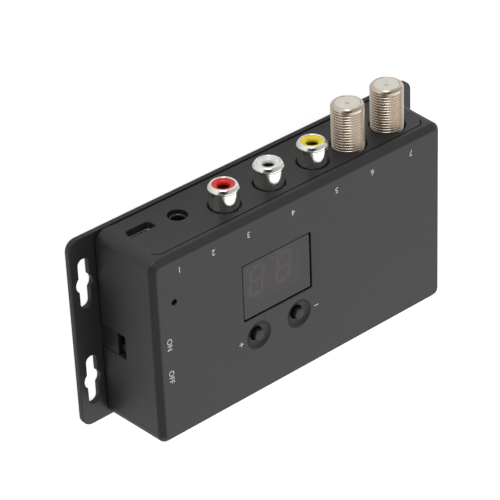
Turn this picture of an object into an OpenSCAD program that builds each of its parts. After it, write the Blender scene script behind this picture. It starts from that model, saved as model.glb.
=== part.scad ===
// Wall box that puts picture and sound on an aerial lead: a flat moulded housing on an eared
// plate, with a row of sockets along one long side, a channel display and two keys on top and
// a small slide switch in one end. The plate's back lies at z = 0 and the top faces +Z, the
// sockets face -Y and the slide switch faces +X.

/* [Housing] */
// Length of the housing across its foot
case_l = 103.8; // [102:0.1:114]
// Depth of the housing across its foot, socket side to plain side
case_w = 57.6; // [55:0.1:66]
// Height of the top face above the mounting surface
case_h = 23.7; // [23.3:0.1:28]
// How far each wall leans inward between its foot and the bevel
draft = 0.7; // [0.3:0.05:0.9]
// Bevel round the top face
bevel = 1.6; // [1:0.1:1.9]
// Radius of the upright corners at the bevel
corner_r = 3; // [2.7:0.1:4]
// Thickness of the side walls
wall = 2; // [1.7:0.1:2.1]
// Thickness of the top
top_t = 2; // [1.8:0.1:2.2]
// Depth of the shallow panel round the sockets
panel_depth = 0.1; // [0.1:0.05:0.6]
// Distance from the bevel down to the panel's top edge
panel_drop = 1; // [0.6:0.1:2]
// Distance from the housing's ends to the panel's ends
panel_end = 4.6; // [3.5:0.1:6]
// Radius of the panel's upper corners
panel_r = 2.5; // [1:0.1:4]
// Height of the shadow line between cover and plate
shadow_h = 0.55; // [0.2:0.05:0.6]

/* [Mounting plate] */
// Thickness of the plate
plate_t = 1.7; // [1.5:0.1:2.4]
// Ear length beyond the housing on the switch end
ear_near = 8.25; // [8:0.05:12]
// Ear length beyond the housing on the other end
ear_far = 9.1; // [8:0.05:12]
// Radius of the plate's corners
ear_r = 3.2; // [2:0.1:5]
// Length of each screw slot
slot_l = 15; // [12:0.5:18]
// Width of each screw slot
slot_w = 3.4; // [3:0.1:4]
// Diameter of the round eye in the middle of each slot
eye_d = 5.3; // [4.5:0.1:5.8]
// Distance from the ear's end to the slots' centre line
slot_in = 4.3; // [3.8:0.1:4.6]
// Distance between the two slots of an ear
slot_pitch = 30; // [24:1:34]
// Height of the locating rib inside the cover
rib_h = 1.8; // [1.2:0.1:2]
// Thickness of the locating rib
rib_t = 1.2; // [0.8:0.1:1.4]

/* [Circuit board] */
// Height of the board's upper face above the mounting surface
board_z = 7.2; // [6.8:0.1:7.4]
// Thickness of the board
board_t = 1.6; // [1:0.1:1.6]
// Space between the board and the cover's side walls at the foot
board_gap = 1.3; // [0.8:0.1:1.5]

/* [Display] */
// Length of the display opening
window_l = 24.1; // [22:0.1:26]
// Width of the display opening
window_w = 17.35; // [16.6:0.05:18]
// Distance from the socket side to the middle of the opening
window_in = 22.9; // [22.6:0.1:24]
// Distance from the housing's middle to the middle of the opening
window_x = 9.7; // [8:0.1:11]
// Gap round the window pane
pane_gap = 0.3; // [0.1:0.05:0.5]
// How far the pane lies below the top face
pane_sunk = 0.15; // [0:0.05:0.5]
// Thickness of the pane's glued flange
pane_flange = 0.8; // [0.5:0.1:1]
// Thickness of the display module
display_t = 7; // [5:0.5:7.5]
// Height of a digit
digit_h = 9.2; // [7:0.1:10]
// Width of a digit
digit_w = 5.4; // [4:0.1:6]
// Distance between the two digits
digit_pitch = 9.4; // [7.5:0.1:10]
// Width of a digit's segments
segment_w = 1; // [0.6:0.1:1.2]

/* [Channel keys] */
// Diameter of a key's stem
key_d = 3.2; // [2.8:0.1:3.6]
// Diameter of the hole that a key stands in
key_hole_d = 4; // [3.8:0.1:5]
// Diameter of the conical dish round a key
dish_d = 8; // [7:0.1:9]
// Depth of the dish
dish_depth = 1.2; // [1:0.1:1.5]
// Distance between the two keys
key_pitch = 14.3; // [13:0.1:17]
// Distance from the middle of the display opening to the keys
key_y = 14.85; // [14:0.05:18]
// How far a key's end lies below the top face; less than 0 stands above it
key_sunk = -0.3; // [-0.5:0.1:1.5]
// Travel of a key
key_travel = 0.4; // [0.2:0.05:0.5]
// Side of a key switch's body
tact_l = 6; // [5.6:0.1:6.4]
// Height of a key switch's body
tact_h = 3.5; // [3:0.1:4]

/* [Signal lamp] */
// Diameter of the light guide
guide_d = 1.5; // [1.2:0.1:2]
// Distance from the switch end to the light guide
guide_end = 7.45; // [7:0.05:8.5]
// Distance from the socket side to the light guide
guide_in = 14.4; // [13.8:0.1:16]
// How far the light guide lies below the top face
guide_sunk = 1.1; // [0.4:0.1:1.6]

/* [Slide switch] */
// Width of the notch in the switch end
notch_w = 7.1; // [6.6:0.1:8]
// Height of the notch's upper edge above the mounting surface
notch_z = 11.2; // [11:0.1:12]
// Distance from the housing's middle to the notch's middle
notch_y = 2.55; // [0:0.05:4]
// Height of the plate's tab that closes the notch below the switch
tab_z = 8.1; // [7.6:0.1:8.4]
// Width of the switch knob
knob_w = 2; // [1.6:0.1:2.4]
// Height of the switch knob
knob_h = 1.5; // [1.2:0.1:1.6]
// Travel of the switch knob
knob_travel = 2; // [1.5:0.1:2.2]
// How far the knob's end lies inside the switch end
knob_sunk = 0.9; // [0.5:0.1:1.4]
// Length of the switch's body along the end
slide_l = 8.6; // [8:0.1:9.5]
// Depth of the switch's body
slide_d = 4.4; // [4.2:0.1:5]
// Height of the switch's body
slide_h = 4; // [3.8:0.1:4.4]

/* [Sockets] */
// Distance from the switch end to the middle of the power socket
usb_end = 9.7; // [9.5:0.05:10.5]
// Width of the power socket's metal shell
usb_w = 7.5; // [7.2:0.1:7.8]
// Height of the power socket's metal shell
usb_h = 2.6; // [2.5:0.05:2.9]
// Length of the power socket's metal shell
usb_l = 5.3; // [4.8:0.1:5.6]
// Distance between the power socket and the eye-lead socket
jack_step = 11.3; // [11:0.1:12]
// Bore of the eye-lead socket
jack_bore_d = 3.6; // [3.5:0.05:3.7]
// Outer diameter of the eye-lead socket's nose
jack_nose_d = 5; // [4.8:0.1:5.2]
// Height of the eye-lead socket's axis above the board
jack_z = 2.75; // [2.7:0.05:3]
// Distance from the housing's middle to the middle one of the three round sockets
phono_x = 3.5; // [2.5:0.1:4]
// Distance between the round sockets
phono_pitch = 15.45; // [15:0.05:15.6]
// Height of the round sockets' axes above the board
phono_z = 7.3; // [7:0.1:7.6]
// Outer diameter of a round socket's shell
phono_d = 8.3; // [8:0.05:8.5]
// Wall thickness of a round socket's shell
phono_wall = 0.6; // [0.5:0.05:0.7]
// How far the round sockets stand out
phono_out = 6.3; // [5:0.1:9]
// Bore of a round socket's middle contact
phono_bore_d = 3.3; // [3.2:0.05:3.4]
// Distance from the far end to the middle of the aerial input socket
aerial_end = 12.6; // [12.5:0.1:14]
// Distance between the two aerial sockets
aerial_pitch = 14.35; // [13:0.05:14.6]
// Height of the aerial sockets' axes above the board
aerial_z = 7.25; // [7:0.05:7.5]
// Outer diameter of an aerial socket's barrel
aerial_d = 9.4; // [9.2:0.05:9.6]
// How far the aerial sockets stand out
aerial_out = 12.5; // [9:0.1:14]
// Diameter of the pale disc in an aerial socket
disc_d = 7.2; // [6.4:0.1:7.4]
// Space between the aerial sockets' rims and the cover's holes
aerial_gap = 0.6; // [0.4:0.05:0.7]
// Space between the round sockets and the cover's holes
phono_gap = 0.3; // [0.2:0.05:0.4]

/* [Hidden] */

overrun = 0.5;        // how far a cut runs past a face
fuse = 0.4;           // how far a boss or rib runs into the wall that carries it
fit = 0.2;            // clearance between cover and plate pieces
slip = 0.05;          // running clearance of what slides or turns
seat = 0.03;          // clearance of what is pressed together

// housing levels and wall lines
foot_z = plate_t;
shoulder_z = case_h - bevel;
ceiling_z = case_h - top_t;
function lean(z) = draft * (z - foot_z) / (shoulder_z - foot_z);
function half_x(z) = case_l / 2 - lean(z);
function half_y(z) = case_w / 2 - lean(z);
front_in_y = -(case_w / 2 - draft - wall);
lean_angle = atan(draft / (shoulder_z - foot_z));

// plate
ear_x1 = case_l / 2 + ear_near;
ear_x0 = -case_l / 2 - ear_far;
slot_x1 = ear_x1 - slot_in;
slot_x0 = ear_x0 + slot_in;
rib_x = case_l / 2 - wall - fit;
rib_y = case_w / 2 - wall - fit;
rib_r = corner_r + draft - wall;
post_z = foot_z + rib_h;
tab_fit = 0.12;       // gap on each side of the tab in the notch
board_l = case_l - 2 * (wall + board_gap);
board_w = case_w - 2 * (wall + board_gap);
tab_x = board_l / 2 + fit;

// screws: the plate's screws go up into the cover's bosses, the board's likewise
base_screw_r = 1.3;
base_head_r = 2.2;
base_head_t = 1.5;
base_head_sunk = 0.3;
base_screw_l = 8;
base_boss_r = 2.6;
base_post_r = 3;
base_end = 5.1;       // screws' distance from the housing's ends
base_front = 11.2;    // from the socket side
base_back = 5.4;      // from the plain side
base_xy = [[case_l / 2 - base_end, -case_w / 2 + base_front],
  [-case_l / 2 + base_end, -case_w / 2 + base_front],
  [case_l / 2 - base_end, case_w / 2 - base_back],
  [-case_l / 2 + base_end, case_w / 2 - base_back]];
board_screw_r = 1;
board_head_r = 1.9;
board_head_t = 1.3;
board_screw_l = 7;
board_boss_r = 2.2;
board_edge = 3.8;     // board screws' distance from the board's plain edge
board_end = 14.3;     // their distance from the housing's ends
board_front = 20.6;   // the front pair's distance from the socket side
board_off = 4.55;     // between the front inner boss and the screening can
boss_gap = 0.4;       // between a boss and what it passes

// the sockets' spacings, fitted between the power socket and the aerial input
usb_x = case_l / 2 - usb_end;
aerial_in_x = -case_l / 2 + aerial_end;
near_step = 11.95;    // between the eye-lead socket and the first round socket
far_step = 13;        // between the last round socket and the aerial output
row_fit = (usb_x - aerial_in_x)
  / (jack_step + near_step + 2 * phono_pitch + far_step + aerial_pitch);
jack_x = usb_x - row_fit * jack_step;
phono_xs = [for (i = [1, 0, -1]) row_fit * (phono_x + i * phono_pitch)];
aerial_out_x = aerial_in_x + row_fit * aerial_pitch;

// the axes' heights, fitted between the board and the cover's ceiling
phono_head = 7.2;     // between the round sockets' axes and the ceiling
aerial_head = 7.25;   // between the aerial sockets' axes and the ceiling
phono_axis = board_z + phono_z * (ceiling_z - board_z) / (phono_z + phono_head);
aerial_axis = board_z + aerial_z * (ceiling_z - board_z) / (aerial_z + aerial_head);

// modulator can, round the aerial sockets' feet
can_y = front_in_y + fit + overrun;
can_side = 4.6;
can_x0 = aerial_in_x - can_side;
can_x1 = aerial_out_x + can_side;
can_d = 20;
can_t = 0.5;
can_gap = 0.9;        // below the cover's ceiling
can_z1 = ceiling_z - can_gap;
can_divider_share = 0.55;

board_reach = case_l / 2 - board_end;
board_xy = [[board_reach, board_w / 2 - board_edge], [-board_reach, board_w / 2 - board_edge],
  [board_reach, -case_w / 2 + board_front],
  [can_x1 + board_boss_r + board_off, -case_w / 2 + board_front]];

// display
window_y = -case_w / 2 + window_in;
flange_over = 1.1;    // pane flange beyond the opening
display_gap = 0.3;    // between pane and display module
display_margin = 1.2; // module inside the opening's outline
display_z = ceiling_z - pane_flange - display_gap;
display_x0 = window_l - 2 * display_margin;
display_y0 = window_w - 2 * display_margin;
header_w = 2.5;
segment_t = 0.15;
segment_slit = 0.25;
digit_slant = 8;
point_r = 0.55;

// keys
key_low = window_x - key_pitch / 2;
key_high = window_x + key_pitch / 2;
key_line = window_y + key_y;
key_foot_share = 0.3; // how deep a key's stem stands in its switch
key_bottom = board_z + tact_h * key_foot_share;
key_top = case_h - key_sunk;
tact_collar_d = 4.6;
tact_collar_h = 0.5;
key_round = 0.5;

// lamp
lamp_x = case_l / 2 - guide_end;
lamp_y = -case_w / 2 + guide_in;
guide_hole_d = guide_d + 2 * slip;
guide_mouth_d = 1.8;
guide_sleeve_d = 3.6;
guide_sleeve_l = 5;
led_l = 2.2;
led_w = 1.6;
led_t = 0.8;

// slide switch
slide_x1 = board_l / 2;
slide_wall = 0.6;
knob_zm = (tab_z + notch_z) / 2;
knob_y = notch_y + knob_travel / 2;
knob_x1 = half_x(knob_zm) - knob_sunk;
shoe_l = 4.2;
shoe_d = 2;
shoe_h = 2;

// power socket
usb_clear = 0.3;
usb_skin = 0.3;
usb_sunk = 1.8;
usb_bevel_share = 0.3;
usb_narrow = 0.75;    // how much narrower each side is at the bottom
usb_y = -half_y(board_z + usb_h / 2) + usb_sunk;
tongue_w = 4.6;
tongue_t = 0.65;
tongue_back = 0.8;
usb_floor_l = 1.2;

// eye-lead socket
jack_axis = board_z + jack_z;
jack_w = 6.2;
jack_h = 5.4;
jack_l = 12;
jack_sunk = 1.1;
jack_clear = 0.2;
jack_face_y = -half_y(jack_axis) + jack_sunk;
jack_body_y = front_in_y + fit;

// round sockets
phono_face = -half_y(phono_axis);
phono_tip = phono_face - phono_out;
block_y = front_in_y + fit + overrun;
block_d = 11.4;
block_over = 5;
block_gap = 2.2;      // below the cover's ceiling
block_h = ceiling_z - block_gap - board_z;
phono_collar = 0.15;
phono_collar_sunk = 0.9;
phono_lip = 0.35;
insert_sunk = 0.6;
insert_funnel_d = 5.4;
insert_funnel_l = 0.8;
insert_l = 7;
contact_wall = 0.35;
contact_sunk = 1.6;
contact_l = 8;

// aerial sockets
aerial_face = -half_y(aerial_axis);
aerial_tip = aerial_face - aerial_out;
aerial_collar = 0.25;
aerial_collar_sunk = 0.9;
aerial_chamfer = 0.5;
disc_sunk = 0.4;
disc_t = 4;
disc_hole_d = 1.1;
disc_dimple_d = 2.6;
disc_dimple_t = 0.7;
pin_d = 1.9;
pin_bore_d = 1;
pin_sunk = 1.6;
pin_into = 3.5;

// parts on the board
chip_l = 10;
chip_t = 1.4;
chip_leg = 0.9;
chip_foot = 0.35;
chip_pitch = 0.8;
chip_lift = 0.15;
crystal_l = 11;
crystal_w = 4.6;
crystal_h = 3.6;
crystal_gap = 0.6;    // between the crystal and the chip's legs
cap_d = 6.3;
cap_h = 7.5;
cap_foot = 0.6;
cap_shares = [0.5, 1.7]; // their places along the can's far side, in diameters

module row_of(xs) { for (x = xs) translate([x, 0, 0]) children(); }

module rounded(x0, x1, y0, y1, r) {
  translate([x0 + r, y0]) square([x1 - x0 - 2 * r, y1 - y0]);
  translate([x0, y0 + r]) square([x1 - x0, y1 - y0 - 2 * r]);
  for (x = [x0 + r, x1 - r], y = [y0 + r, y1 - r]) translate([x, y]) circle(r = r, $fn = 64);
}

// block whose walls lean in alike, with round upright corners
module leaning(x0, y0, x1, y1, z0, z1, r_top) {
  cx = x1 - r_top;
  cy = y1 - r_top;
  h = z1 - z0;
  translate([0, 0, z0]) {
    rotate([90, 0, 90]) linear_extrude(2 * cx, center = true)
      polygon([[-y0, 0], [y0, 0], [y1, h], [-y1, h]]);
    rotate([90, 0, 0]) linear_extrude(2 * cy, center = true)
      polygon([[-x0, 0], [x0, 0], [x1, h], [-x1, h]]);
    for (sx = [-1, 1], sy = [-1, 1]) translate([sx * cx, sy * cy, 0])
      cylinder(h = h, r1 = r_top + x0 - x1, r2 = r_top, $fn = 96);
  }
}

module walls(inset, z0, z1, r_top) {
  leaning(half_x(z0) - inset, half_y(z0) - inset, half_x(z1) - inset, half_y(z1) - inset,
    z0, z1, r_top);
}

// cylinder along -Y whose inner end is at y
module toward_front(x, y, z, d, l) {
  translate([x, y, z]) rotate([90, 0, 0]) cylinder(d = d, h = l, $fn = 64);
}

// turned piece along -Y, its outline given as [radius, distance from y]
module turned(x, y, z) {
  translate([x, y, z]) rotate([90, 0, 0]) rotate_extrude($fn = 96) children();
}

module front_hole(x, z, d) {
  toward_front(x, front_in_y + overrun, z, d, wall + draft + 2 * overrun);
}

module slot_cut(x, y) {
  translate([x, y, -overrun]) linear_extrude(plate_t + 2 * overrun) {
    translate([-slot_w / 2, -(slot_l - slot_w) / 2]) square([slot_w, slot_l - slot_w]);
    for (s = [-1, 1]) translate([0, s * (slot_l - slot_w) / 2]) circle(d = slot_w, $fn = 48);
    circle(d = eye_d, $fn = 64);
  }
}

module base_plate() {
  color([0.27, 0.27, 0.28]) difference() {
    union() {
      linear_extrude(plate_t) rounded(ear_x0, ear_x1, -case_w / 2, case_w / 2, ear_r);
      translate([0, 0, plate_t - fuse]) linear_extrude(rib_h + fuse) difference() {
        rounded(-rib_x, rib_x, -rib_y, rib_y, rib_r);
        rounded(-rib_x + rib_t, rib_x - rib_t, -rib_y + rib_t, rib_y - rib_t, rib_r);
      }
      for (p = base_xy) translate([p[0], p[1], plate_t - fuse]) intersection() {
        cylinder(r = base_post_r, h = rib_h + fuse, $fn = 64);
        translate([-p[0] - rib_x, -p[1] - rib_y, 0]) cube([2 * rib_x, 2 * rib_y, rib_h + fuse]);
      }
      translate([0, notch_y + notch_w / 2 - tab_fit, 0]) rotate([90, 0, 0])
        linear_extrude(notch_w - 2 * tab_fit) polygon([[tab_x, plate_t - fuse],
          [half_x(foot_z) - tab_fit, plate_t - fuse], [half_x(tab_z) - tab_fit, tab_z],
          [tab_x, tab_z]]);
    }
    for (x = [slot_x0, slot_x1], s = [-1, 1]) slot_cut(x, s * slot_pitch / 2);
    for (p = base_xy) translate([p[0], p[1], -overrun]) {
      cylinder(r = base_screw_r + slip, h = post_z + 2 * overrun, $fn = 48);
      cylinder(r = base_head_r + fit, h = base_head_t + base_head_sunk + overrun, $fn = 48);
    }
  }
}

module panel_cut() {
  z1 = shoulder_z - panel_drop;
  x1 = half_x(foot_z) - panel_end;
  translate([0, -case_w / 2 + panel_depth, foot_z]) rotate([90 - lean_angle, 0, 0])
    linear_extrude(wall) {
      translate([-x1, -overrun]) square([2 * x1, z1 - foot_z - panel_r + overrun]);
      translate([-x1 + panel_r, 0]) square([2 * (x1 - panel_r), z1 - foot_z]);
      for (s = [-1, 1]) translate([s * (x1 - panel_r), z1 - foot_z - panel_r])
        circle(r = panel_r, $fn = 64);
    }
}

module usb_outline(grow) {
  w = usb_w / 2 + grow;
  h = usb_h + grow;
  polygon([[-w + usb_narrow, -grow], [w - usb_narrow, -grow], [w, usb_h * usb_bevel_share],
    [w, h], [-w, h], [-w, usb_h * usb_bevel_share]]);
}

module key_opening(x) {
  translate([x, key_line, ceiling_z - overrun])
    cylinder(d = key_hole_d, h = top_t + 2 * overrun, $fn = 64);
  translate([x, key_line, case_h - dish_depth])
    cylinder(d1 = key_hole_d, d2 = dish_d, h = dish_depth, $fn = 96);
  translate([x, key_line, case_h]) cylinder(d = dish_d, h = overrun, $fn = 96);
}

module boss(p, r, z0) {
  translate([p[0], p[1], z0]) cylinder(r = r, h = ceiling_z + fuse - z0, $fn = 48);
}

module pilot(p, r, z0, l) {
  translate([p[0], p[1], z0 - overrun]) cylinder(r = r, h = l + 2 * overrun, $fn = 48);
}

module top_cover() {
  color([0.28, 0.28, 0.29]) difference() {
    union() {
      difference() {
        union() {
          walls(0, foot_z, shoulder_z, corner_r);
          leaning(half_x(shoulder_z), half_y(shoulder_z), half_x(shoulder_z) - bevel,
            half_y(shoulder_z) - bevel, shoulder_z, case_h, corner_r - bevel);
        }
        walls(wall, foot_z - overrun, ceiling_z, corner_r - wall);
      }
      intersection() {
        walls(wall / 2, foot_z, ceiling_z + fuse, corner_r - wall / 2);
        union() {
          for (p = base_xy) boss(p, base_boss_r, post_z);
          for (p = board_xy) boss(p, board_boss_r, board_z);
          translate([lamp_x, lamp_y, ceiling_z - guide_sleeve_l])
            cylinder(d = guide_sleeve_d, h = guide_sleeve_l + fuse, $fn = 48);
        }
      }
    }
    for (p = base_xy) pilot(p, base_screw_r + slip, post_z, base_screw_l);
    for (p = board_xy) pilot(p, board_screw_r + slip, board_z, board_screw_l);
    panel_cut();
    translate([0, 0, foot_z - overrun]) linear_extrude(shadow_h + overrun) difference() {
      square([2 * case_l, 2 * case_w], center = true);
      rounded(-case_l / 2 + shadow_h, case_l / 2 - shadow_h, -case_w / 2 + shadow_h + panel_depth,
        case_w / 2 - shadow_h, corner_r);
    }
    for (x = phono_xs) front_hole(x, phono_axis, phono_d + 2 * phono_gap);
    for (x = [aerial_in_x, aerial_out_x]) front_hole(x, aerial_axis, aerial_d + 2 * aerial_gap);
    front_hole(jack_x, jack_axis, jack_nose_d + 2 * jack_clear);
    translate([usb_x, front_in_y + overrun, board_z]) rotate([90, 0, 0])
      linear_extrude(wall + draft + 2 * overrun) usb_outline(usb_clear);
    translate([case_l / 2 - wall - draft - overrun, notch_y - notch_w / 2, 0])
      cube([wall + draft + 2 * overrun, notch_w, notch_z]);
    translate([window_x - window_l / 2, window_y - window_w / 2, ceiling_z - overrun])
      cube([window_l, window_w, top_t + 2 * overrun]);
    for (x = [key_low, key_high]) key_opening(x);
    translate([lamp_x, lamp_y, ceiling_z - guide_sleeve_l - overrun])
      cylinder(d = guide_hole_d, h = guide_sleeve_l + top_t + 2 * overrun, $fn = 48);
    translate([lamp_x, lamp_y, case_h - guide_sunk])
      cylinder(d = guide_mouth_d, h = guide_sunk + overrun, $fn = 48);
  }
}

module window_pane() {
  color([0.3, 0.29, 0.28, 0.6]) translate([window_x, window_y, 0]) {
    translate([-window_l / 2 + pane_gap, -window_w / 2 + pane_gap, ceiling_z - pane_flange])
      cube([window_l - 2 * pane_gap, window_w - 2 * pane_gap, top_t + pane_flange - pane_sunk]);
    translate([-window_l / 2 - flange_over, -window_w / 2 - flange_over, ceiling_z - pane_flange])
      cube([window_l + 2 * flange_over, window_w + 2 * flange_over, pane_flange]);
  }
}

module display_module() {
  color([0.2, 0.2, 0.2]) translate([window_x, window_y, display_z - display_t / 2])
    cube([display_x0, display_y0, display_t], center = true);
}

// one bar of a digit, with pointed ends
module bar(l) {
  w = segment_w / 2;
  e = l / 2 - segment_slit;
  polygon([[-e, 0], [-e + w, w], [e - w, w], [e, 0], [e - w, -w], [-e + w, -w]]);
}

module digit() {
  hw = (digit_w - segment_w) / 2;
  hh = (digit_h - segment_w) / 2;
  slant = tan(digit_slant);
  multmatrix([[1, slant, 0, 0], [0, 1, 0, 0], [0, 0, 1, 0], [0, 0, 0, 1]]) {
    for (y = [-hh, 0, hh]) translate([0, y]) bar(2 * hw);
    for (x = [-hw, hw], y = [-hh / 2, hh / 2]) translate([x, y]) rotate(90) bar(hh);
  }
}

module display_segments() {
  color([0.45, 0.25, 0.2]) translate([window_x, window_y, display_z])
    for (s = [-1, 1]) translate([s * digit_pitch / 2, 0, 0]) {
      linear_extrude(segment_t) digit();
      translate([digit_w / 2 + point_r, -digit_h / 2 + point_r, 0])
        cylinder(r = point_r, h = segment_t, $fn = 32);
    }
}

module display_header() {
  h = display_z - display_t - board_z;
  color([0.08, 0.08, 0.08]) for (s = [-1, 1])
    translate([window_x - display_x0 / 2, window_y + s * (display_y0 - header_w) / 2 - header_w / 2,
      board_z]) cube([display_x0, header_w, h]);
}

module circuit_board() {
  color([0.1, 0.35, 0.2]) difference() {
    translate([-board_l / 2, -board_w / 2, board_z - board_t]) cube([board_l, board_w, board_t]);
    for (p = base_xy) translate([p[0], p[1], board_z - board_t - overrun])
      cylinder(r = base_boss_r + boss_gap, h = board_t + 2 * overrun, $fn = 48);
    for (p = board_xy) translate([p[0], p[1], board_z - board_t - overrun])
      cylinder(r = board_screw_r + slip, h = board_t + 2 * overrun, $fn = 48);
  }
}

module key(x) {
  color([0.3, 0.3, 0.31]) translate([x, key_line, 0]) {
    translate([0, 0, key_bottom]) cylinder(d = key_d, h = key_top - key_round - key_bottom, $fn = 64);
    translate([0, 0, key_top - key_round])
      cylinder(d1 = key_d, d2 = key_d - key_round, h = key_round, $fn = 64);
  }
}

module channel_down_key() { key(key_low); }
module channel_up_key() { key(key_high); }

module tact(x) {
  bore = key_d + 2 * slip;
  color([0.12, 0.12, 0.12]) translate([x, key_line, board_z]) difference() {
    union() {
      translate([-tact_l / 2, -tact_l / 2, 0]) cube([tact_l, tact_l, tact_h]);
      translate([0, 0, tact_h]) cylinder(d = tact_collar_d, h = tact_collar_h, $fn = 48);
    }
    translate([0, 0, key_bottom - board_z - key_travel - slip])
      cylinder(d = bore, h = tact_h + tact_collar_h, $fn = 64);
  }
}

module channel_down_switch() { tact(key_low); }
module channel_up_switch() { tact(key_high); }

module light_guide() {
  color([0.85, 0.9, 0.85, 0.5]) translate([lamp_x, lamp_y, board_z + led_t])
    cylinder(d = guide_d, h = case_h - guide_sunk - board_z - led_t, $fn = 48);
}

module signal_led() {
  color([0.9, 0.9, 0.7]) translate([lamp_x - led_l / 2, lamp_y - led_w / 2, board_z])
    cube([led_l, led_w, led_t]);
}

module slide_switch_body() {
  slot_y0 = knob_y - knob_travel - knob_w / 2 - slip;
  slot_y1 = knob_y + knob_w / 2 + slip;
  color([0.75, 0.75, 0.76]) difference() {
    translate([slide_x1 - slide_d, notch_y - slide_l / 2, board_z]) cube([slide_d, slide_l, slide_h]);
    translate([slide_x1 - slide_wall - shoe_d - 2 * slip, knob_y - knob_travel - shoe_l / 2 - slip,
      knob_zm - shoe_h / 2 - slip])
      cube([shoe_d + 2 * slip, shoe_l + knob_travel + 2 * slip, shoe_h + 2 * slip]);
    translate([slide_x1 - slide_wall - slip, slot_y0, knob_zm - knob_h / 2 - slip])
      cube([slide_wall + overrun, slot_y1 - slot_y0, knob_h + 2 * slip]);
  }
}

module slide_switch_knob() {
  color([0.1, 0.1, 0.1]) {
    translate([slide_x1 - slide_wall - shoe_d - slip, knob_y - shoe_l / 2, knob_zm - shoe_h / 2])
      cube([shoe_d, shoe_l, shoe_h]);
    translate([slide_x1 - slide_wall - shoe_d, knob_y - knob_w / 2, knob_zm - knob_h / 2])
      cube([knob_x1 - slide_x1 + slide_wall + shoe_d, knob_w, knob_h]);
  }
}

module usb_shell() {
  color([0.8, 0.8, 0.8]) translate([usb_x, usb_y + usb_l, board_z]) rotate([90, 0, 0])
    difference() {
      linear_extrude(usb_l) usb_outline(0);
      translate([0, usb_skin, usb_skin]) linear_extrude(usb_l) usb_outline_inner();
    }
}

module usb_outline_inner() {
  w = usb_w / 2 - usb_skin;
  h = usb_h - 2 * usb_skin;
  polygon([[-w + usb_narrow, 0], [w - usb_narrow, 0], [w, usb_h * usb_bevel_share - usb_skin / 2],
    [w, h], [-w, h], [-w, usb_h * usb_bevel_share - usb_skin / 2]]);
}

module usb_tongue() {
  color([0.06, 0.06, 0.06]) translate([usb_x - tongue_w / 2, usb_y + tongue_back,
    board_z + usb_h - usb_skin - tongue_t - usb_skin])
    cube([tongue_w, usb_l - tongue_back - usb_skin, tongue_t]);
}

module eye_jack() {
  color([0.07, 0.07, 0.07]) difference() {
    union() {
      translate([jack_x - jack_w / 2, jack_body_y, board_z]) cube([jack_w, jack_l, jack_h]);
      toward_front(jack_x, jack_body_y + fuse, jack_axis, jack_nose_d, jack_body_y + fuse - jack_face_y);
    }
    toward_front(jack_x, jack_body_y + jack_l - wall, jack_axis, jack_bore_d,
      jack_body_y + jack_l - jack_face_y);
  }
}

module phono_block() {
  x0 = phono_xs[2] - block_over;
  x1 = phono_xs[0] + block_over;
  color([0.08, 0.08, 0.08]) difference() {
    translate([x0, block_y, board_z]) cube([x1 - x0, block_d, block_h]);
    for (x = phono_xs) toward_front(x, block_y + contact_l, phono_axis,
      phono_bore_d + 2 * contact_wall + 2 * seat, contact_l + overrun);
  }
}

module phono_shell(x) {
  l = block_y - phono_tip;
  r = phono_d / 2;
  step = block_y - phono_face - phono_collar_sunk;
  color([0.82, 0.82, 0.8]) turned(x, block_y, phono_axis) polygon([[r - phono_wall, 0],
    [r + phono_collar, 0], [r + phono_collar, step], [r, step], [r, l - phono_lip],
    [r - phono_lip, l], [r - phono_wall, l]]);
}

module phono_right_shell() { phono_shell(phono_xs[0]); }
module phono_left_shell() { phono_shell(phono_xs[1]); }
module phono_video_shell() { phono_shell(phono_xs[2]); }

module phono_insert(x, paint) {
  l = block_y - phono_tip - insert_sunk;
  hole = phono_bore_d + 2 * contact_wall + 2 * seat;
  color(paint) difference() {
    toward_front(x, block_y, phono_axis, phono_d - 2 * phono_wall - 2 * seat, l);
    toward_front(x, block_y + overrun, phono_axis, hole, l + 2 * overrun);
    translate([x, phono_tip + insert_sunk + insert_funnel_l, phono_axis]) rotate([90, 0, 0])
      cylinder(d1 = hole, d2 = insert_funnel_d, h = insert_funnel_l, $fn = 64);
  }
}

module phono_right_insert() { phono_insert(phono_xs[0], [0.75, 0.12, 0.1]); }
module phono_left_insert() { phono_insert(phono_xs[1], [0.92, 0.92, 0.9]); }
module phono_video_insert() { phono_insert(phono_xs[2], [0.9, 0.75, 0.1]); }

module phono_contact(x) {
  y1 = phono_tip + contact_sunk;
  l = block_y + contact_l - y1;
  color([0.85, 0.83, 0.75]) difference() {
    toward_front(x, block_y + contact_l, phono_axis, phono_bore_d + 2 * contact_wall, l);
    toward_front(x, block_y + contact_l - wall, phono_axis, phono_bore_d, l);
  }
}

module phono_right_contact() { phono_contact(phono_xs[0]); }
module phono_left_contact() { phono_contact(phono_xs[1]); }
module phono_video_contact() { phono_contact(phono_xs[2]); }

module barrel(x) {
  l = can_y - aerial_tip;
  r = aerial_d / 2;
  step = can_y - aerial_face - aerial_collar_sunk;
  color([0.78, 0.76, 0.7]) turned(x, can_y, aerial_axis) polygon([[disc_d / 2, 0],
    [r + aerial_collar, 0], [r + aerial_collar, step], [r, step], [r, l - aerial_chamfer],
    [r - aerial_chamfer, l], [disc_d / 2, l]]);
}

module aerial_out_barrel() { barrel(aerial_out_x); }
module aerial_in_barrel() { barrel(aerial_in_x); }

module disc(x) {
  y1 = aerial_tip + disc_sunk;
  color([0.93, 0.9, 0.8]) difference() {
    toward_front(x, y1 + disc_t, aerial_axis, disc_d - 2 * seat, disc_t);
    toward_front(x, y1 + disc_t + overrun, aerial_axis, disc_hole_d, disc_t + 2 * overrun);
    translate([x, y1 + disc_dimple_t, aerial_axis]) rotate([90, 0, 0])
      cylinder(d1 = disc_hole_d, d2 = disc_dimple_d, h = disc_dimple_t, $fn = 48);
    toward_front(x, y1 + disc_t + overrun, aerial_axis, pin_d + 2 * seat,
      disc_t + overrun - pin_sunk);
  }
}

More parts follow.
